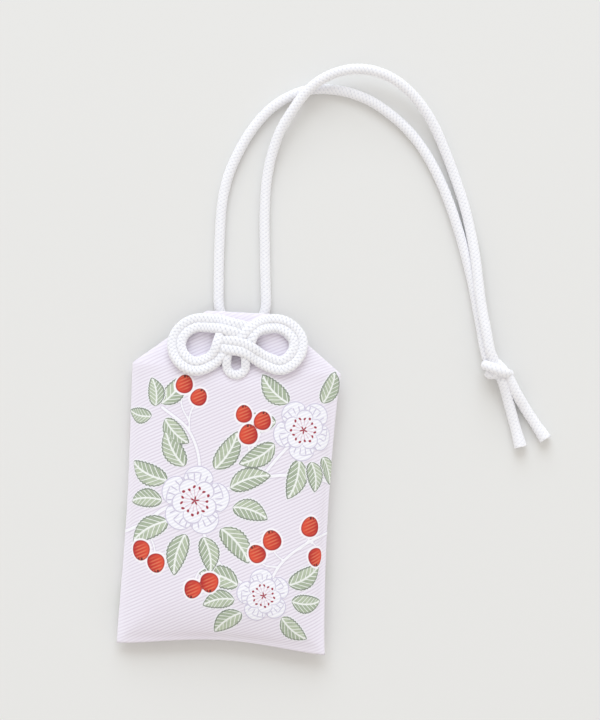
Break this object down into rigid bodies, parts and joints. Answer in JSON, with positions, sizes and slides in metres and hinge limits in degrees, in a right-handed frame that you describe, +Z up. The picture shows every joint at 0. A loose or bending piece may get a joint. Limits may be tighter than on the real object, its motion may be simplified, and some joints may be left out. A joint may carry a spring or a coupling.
{
  "type": "omamori charm",
  "caption": "Flat padded brocade pouch holding a prayer tablet, tied shut with a bow of braided cord and carried by a hanging cord loop.",
  "frame": {"origin": "centre of the pouch's back, on the table that the charm lies on", "axes": "+X to the pouch's right, +Y from its bottom to its mouth and loop, +Z up off the table, out of its front"},
  "size_m": [0.0889, 0.1245, 0.0095],
  "materials": {
    "brocade": "satin twill",
    "cord": "braided",
    "thread": "matt",
    "wadding": "matt",
    "card": "matt",
    "paper": "matt",
    "tablet": "planed"
  },
  "bodies": {
    "pouch": {"front_panel": "brocade", "back_panel": "brocade", "left_seam_thread": "thread", "right_seam_thread": "thread", "bottom_seam_thread": "thread", "wadding_pad": "wadding", "stiffener_card": "card", "tablet_wrapper": "paper", "bow_centre": "cord", "cord_pass_left": "cord", "cord_pass_right": "cord"},
    "tablet": {"prayer_tablet": "tablet"},
    "bow_left": {"bow_left_outer": "cord", "bow_left_inner": "cord"},
    "bow_right": {"bow_right_outer": "cord", "bow_right_inner": "cord"},
    "small_loop": {"bow_small_loop": "cord"},
    "loop_near": {"strand_left_near": "cord", "strand_right_near": "cord"},
    "loop_far": {"strand_left_far": "cord", "strand_right_far": "cord", "end_knot": "cord"},
    "left_tail": {"tail_left": "cord"},
    "right_tail": {"tail_right": "cord"}
  },
  "joints": [
    {"name": "loop_swing", "type": "hinge", "parent": "pouch", "child": "loop_near", "pos_m": [-0.00014, 0.02945, 0.00105], "axis": [0, 0, 1], "range_deg": [-30, 30]},
    {"name": "loop_lift", "type": "hinge", "parent": "loop_near", "child": "loop_far", "pos_m": [0.04206, 0.06645, 0.00105], "axis": [-0.8822, -0.4709, 0], "range_deg": [0, 100]},
    {"name": "left_tail_swing", "type": "hinge", "parent": "loop_far", "child": "left_tail", "pos_m": [0.05564, 0.02294, 0.00202], "axis": [0, 0, 1], "range_deg": [-30, 3]},
    {"name": "right_tail_swing", "type": "hinge", "parent": "loop_far", "child": "right_tail", "pos_m": [0.0578, 0.0242, 0.00202], "axis": [0, 0, 1], "range_deg": [-3, 30]},
    {"name": "bow_left_lift", "type": "hinge", "parent": "pouch", "child": "bow_left", "pos_m": [-0.00388, 0.02924, 0.00709], "axis": [-0.0576, 0.9832, -0.1734], "range_deg": [0, 60]},
    {"name": "bow_right_lift", "type": "hinge", "parent": "pouch", "child": "bow_right", "pos_m": [0.0036, 0.02966, 0.00701], "axis": [0.0576, -0.9832, 0.1734], "range_deg": [0, 60]},
    {"name": "small_loop_lift", "type": "hinge", "parent": "pouch", "child": "small_loop", "pos_m": [0.00013, 0.02478, 0.00787], "axis": [-0.9983, -0.0567, 0.01], "range_deg": [0, 60]},
    {"name": "tablet_slide", "type": "slide", "parent": "pouch", "child": "tablet", "axis": [0, 1, 0], "range_m": [0, 0.0015]}
  ]
}
